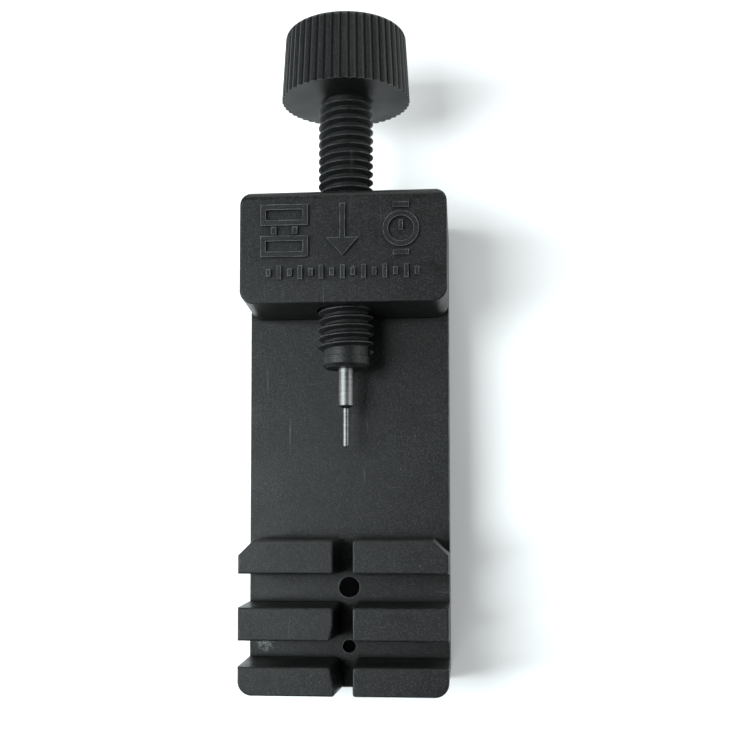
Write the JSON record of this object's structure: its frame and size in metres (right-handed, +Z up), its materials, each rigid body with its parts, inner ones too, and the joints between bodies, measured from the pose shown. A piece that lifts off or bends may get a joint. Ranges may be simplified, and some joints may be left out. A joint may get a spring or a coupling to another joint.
{
  "type": "watch bracelet link pin remover",
  "caption": "Watch bracelet link pin remover: a moulded base with a toothed end and a threaded head, whose thumb screw drives a thin steel pin across the bay.",
  "frame": {"origin": "on the surface the base stands on, below the centre of the tool's bounding box", "axes": "+X to the right across the base, +Y from the teeth towards the knob along the screw, +Z up"},
  "size_m": [0.0302, 0.0964, 0.0267],
  "materials": {
    "base_plastic": "black moulded plastic, finely grained and scuffed",
    "screw_plastic": "black moulded plastic, satin",
    "pin_steel": "ground steel"
  },
  "bodies": {
    "base": {"base_body": "base_plastic"},
    "pin_feed": {"driver_pin": "pin_steel"},
    "screw": {"thumb_screw": "screw_plastic"}
  },
  "joints": [
    {"name": "screw_feed", "type": "slide", "parent": "base", "child": "pin_feed", "axis": [0, -1, 0], "range_m": [-0.0175, 0.01438]},
    {"name": "screw_turn", "type": "hinge", "parent": "pin_feed", "child": "screw", "pos_m": [0, 0.0297, 0.0173], "axis": [0, -1, 0], "range_deg": [-5041, 4141]}
  ],
  "couplings": [
    {"joint": "screw_turn", "follows": "screw_feed", "rad_per_m": 5026.5}
  ]
}
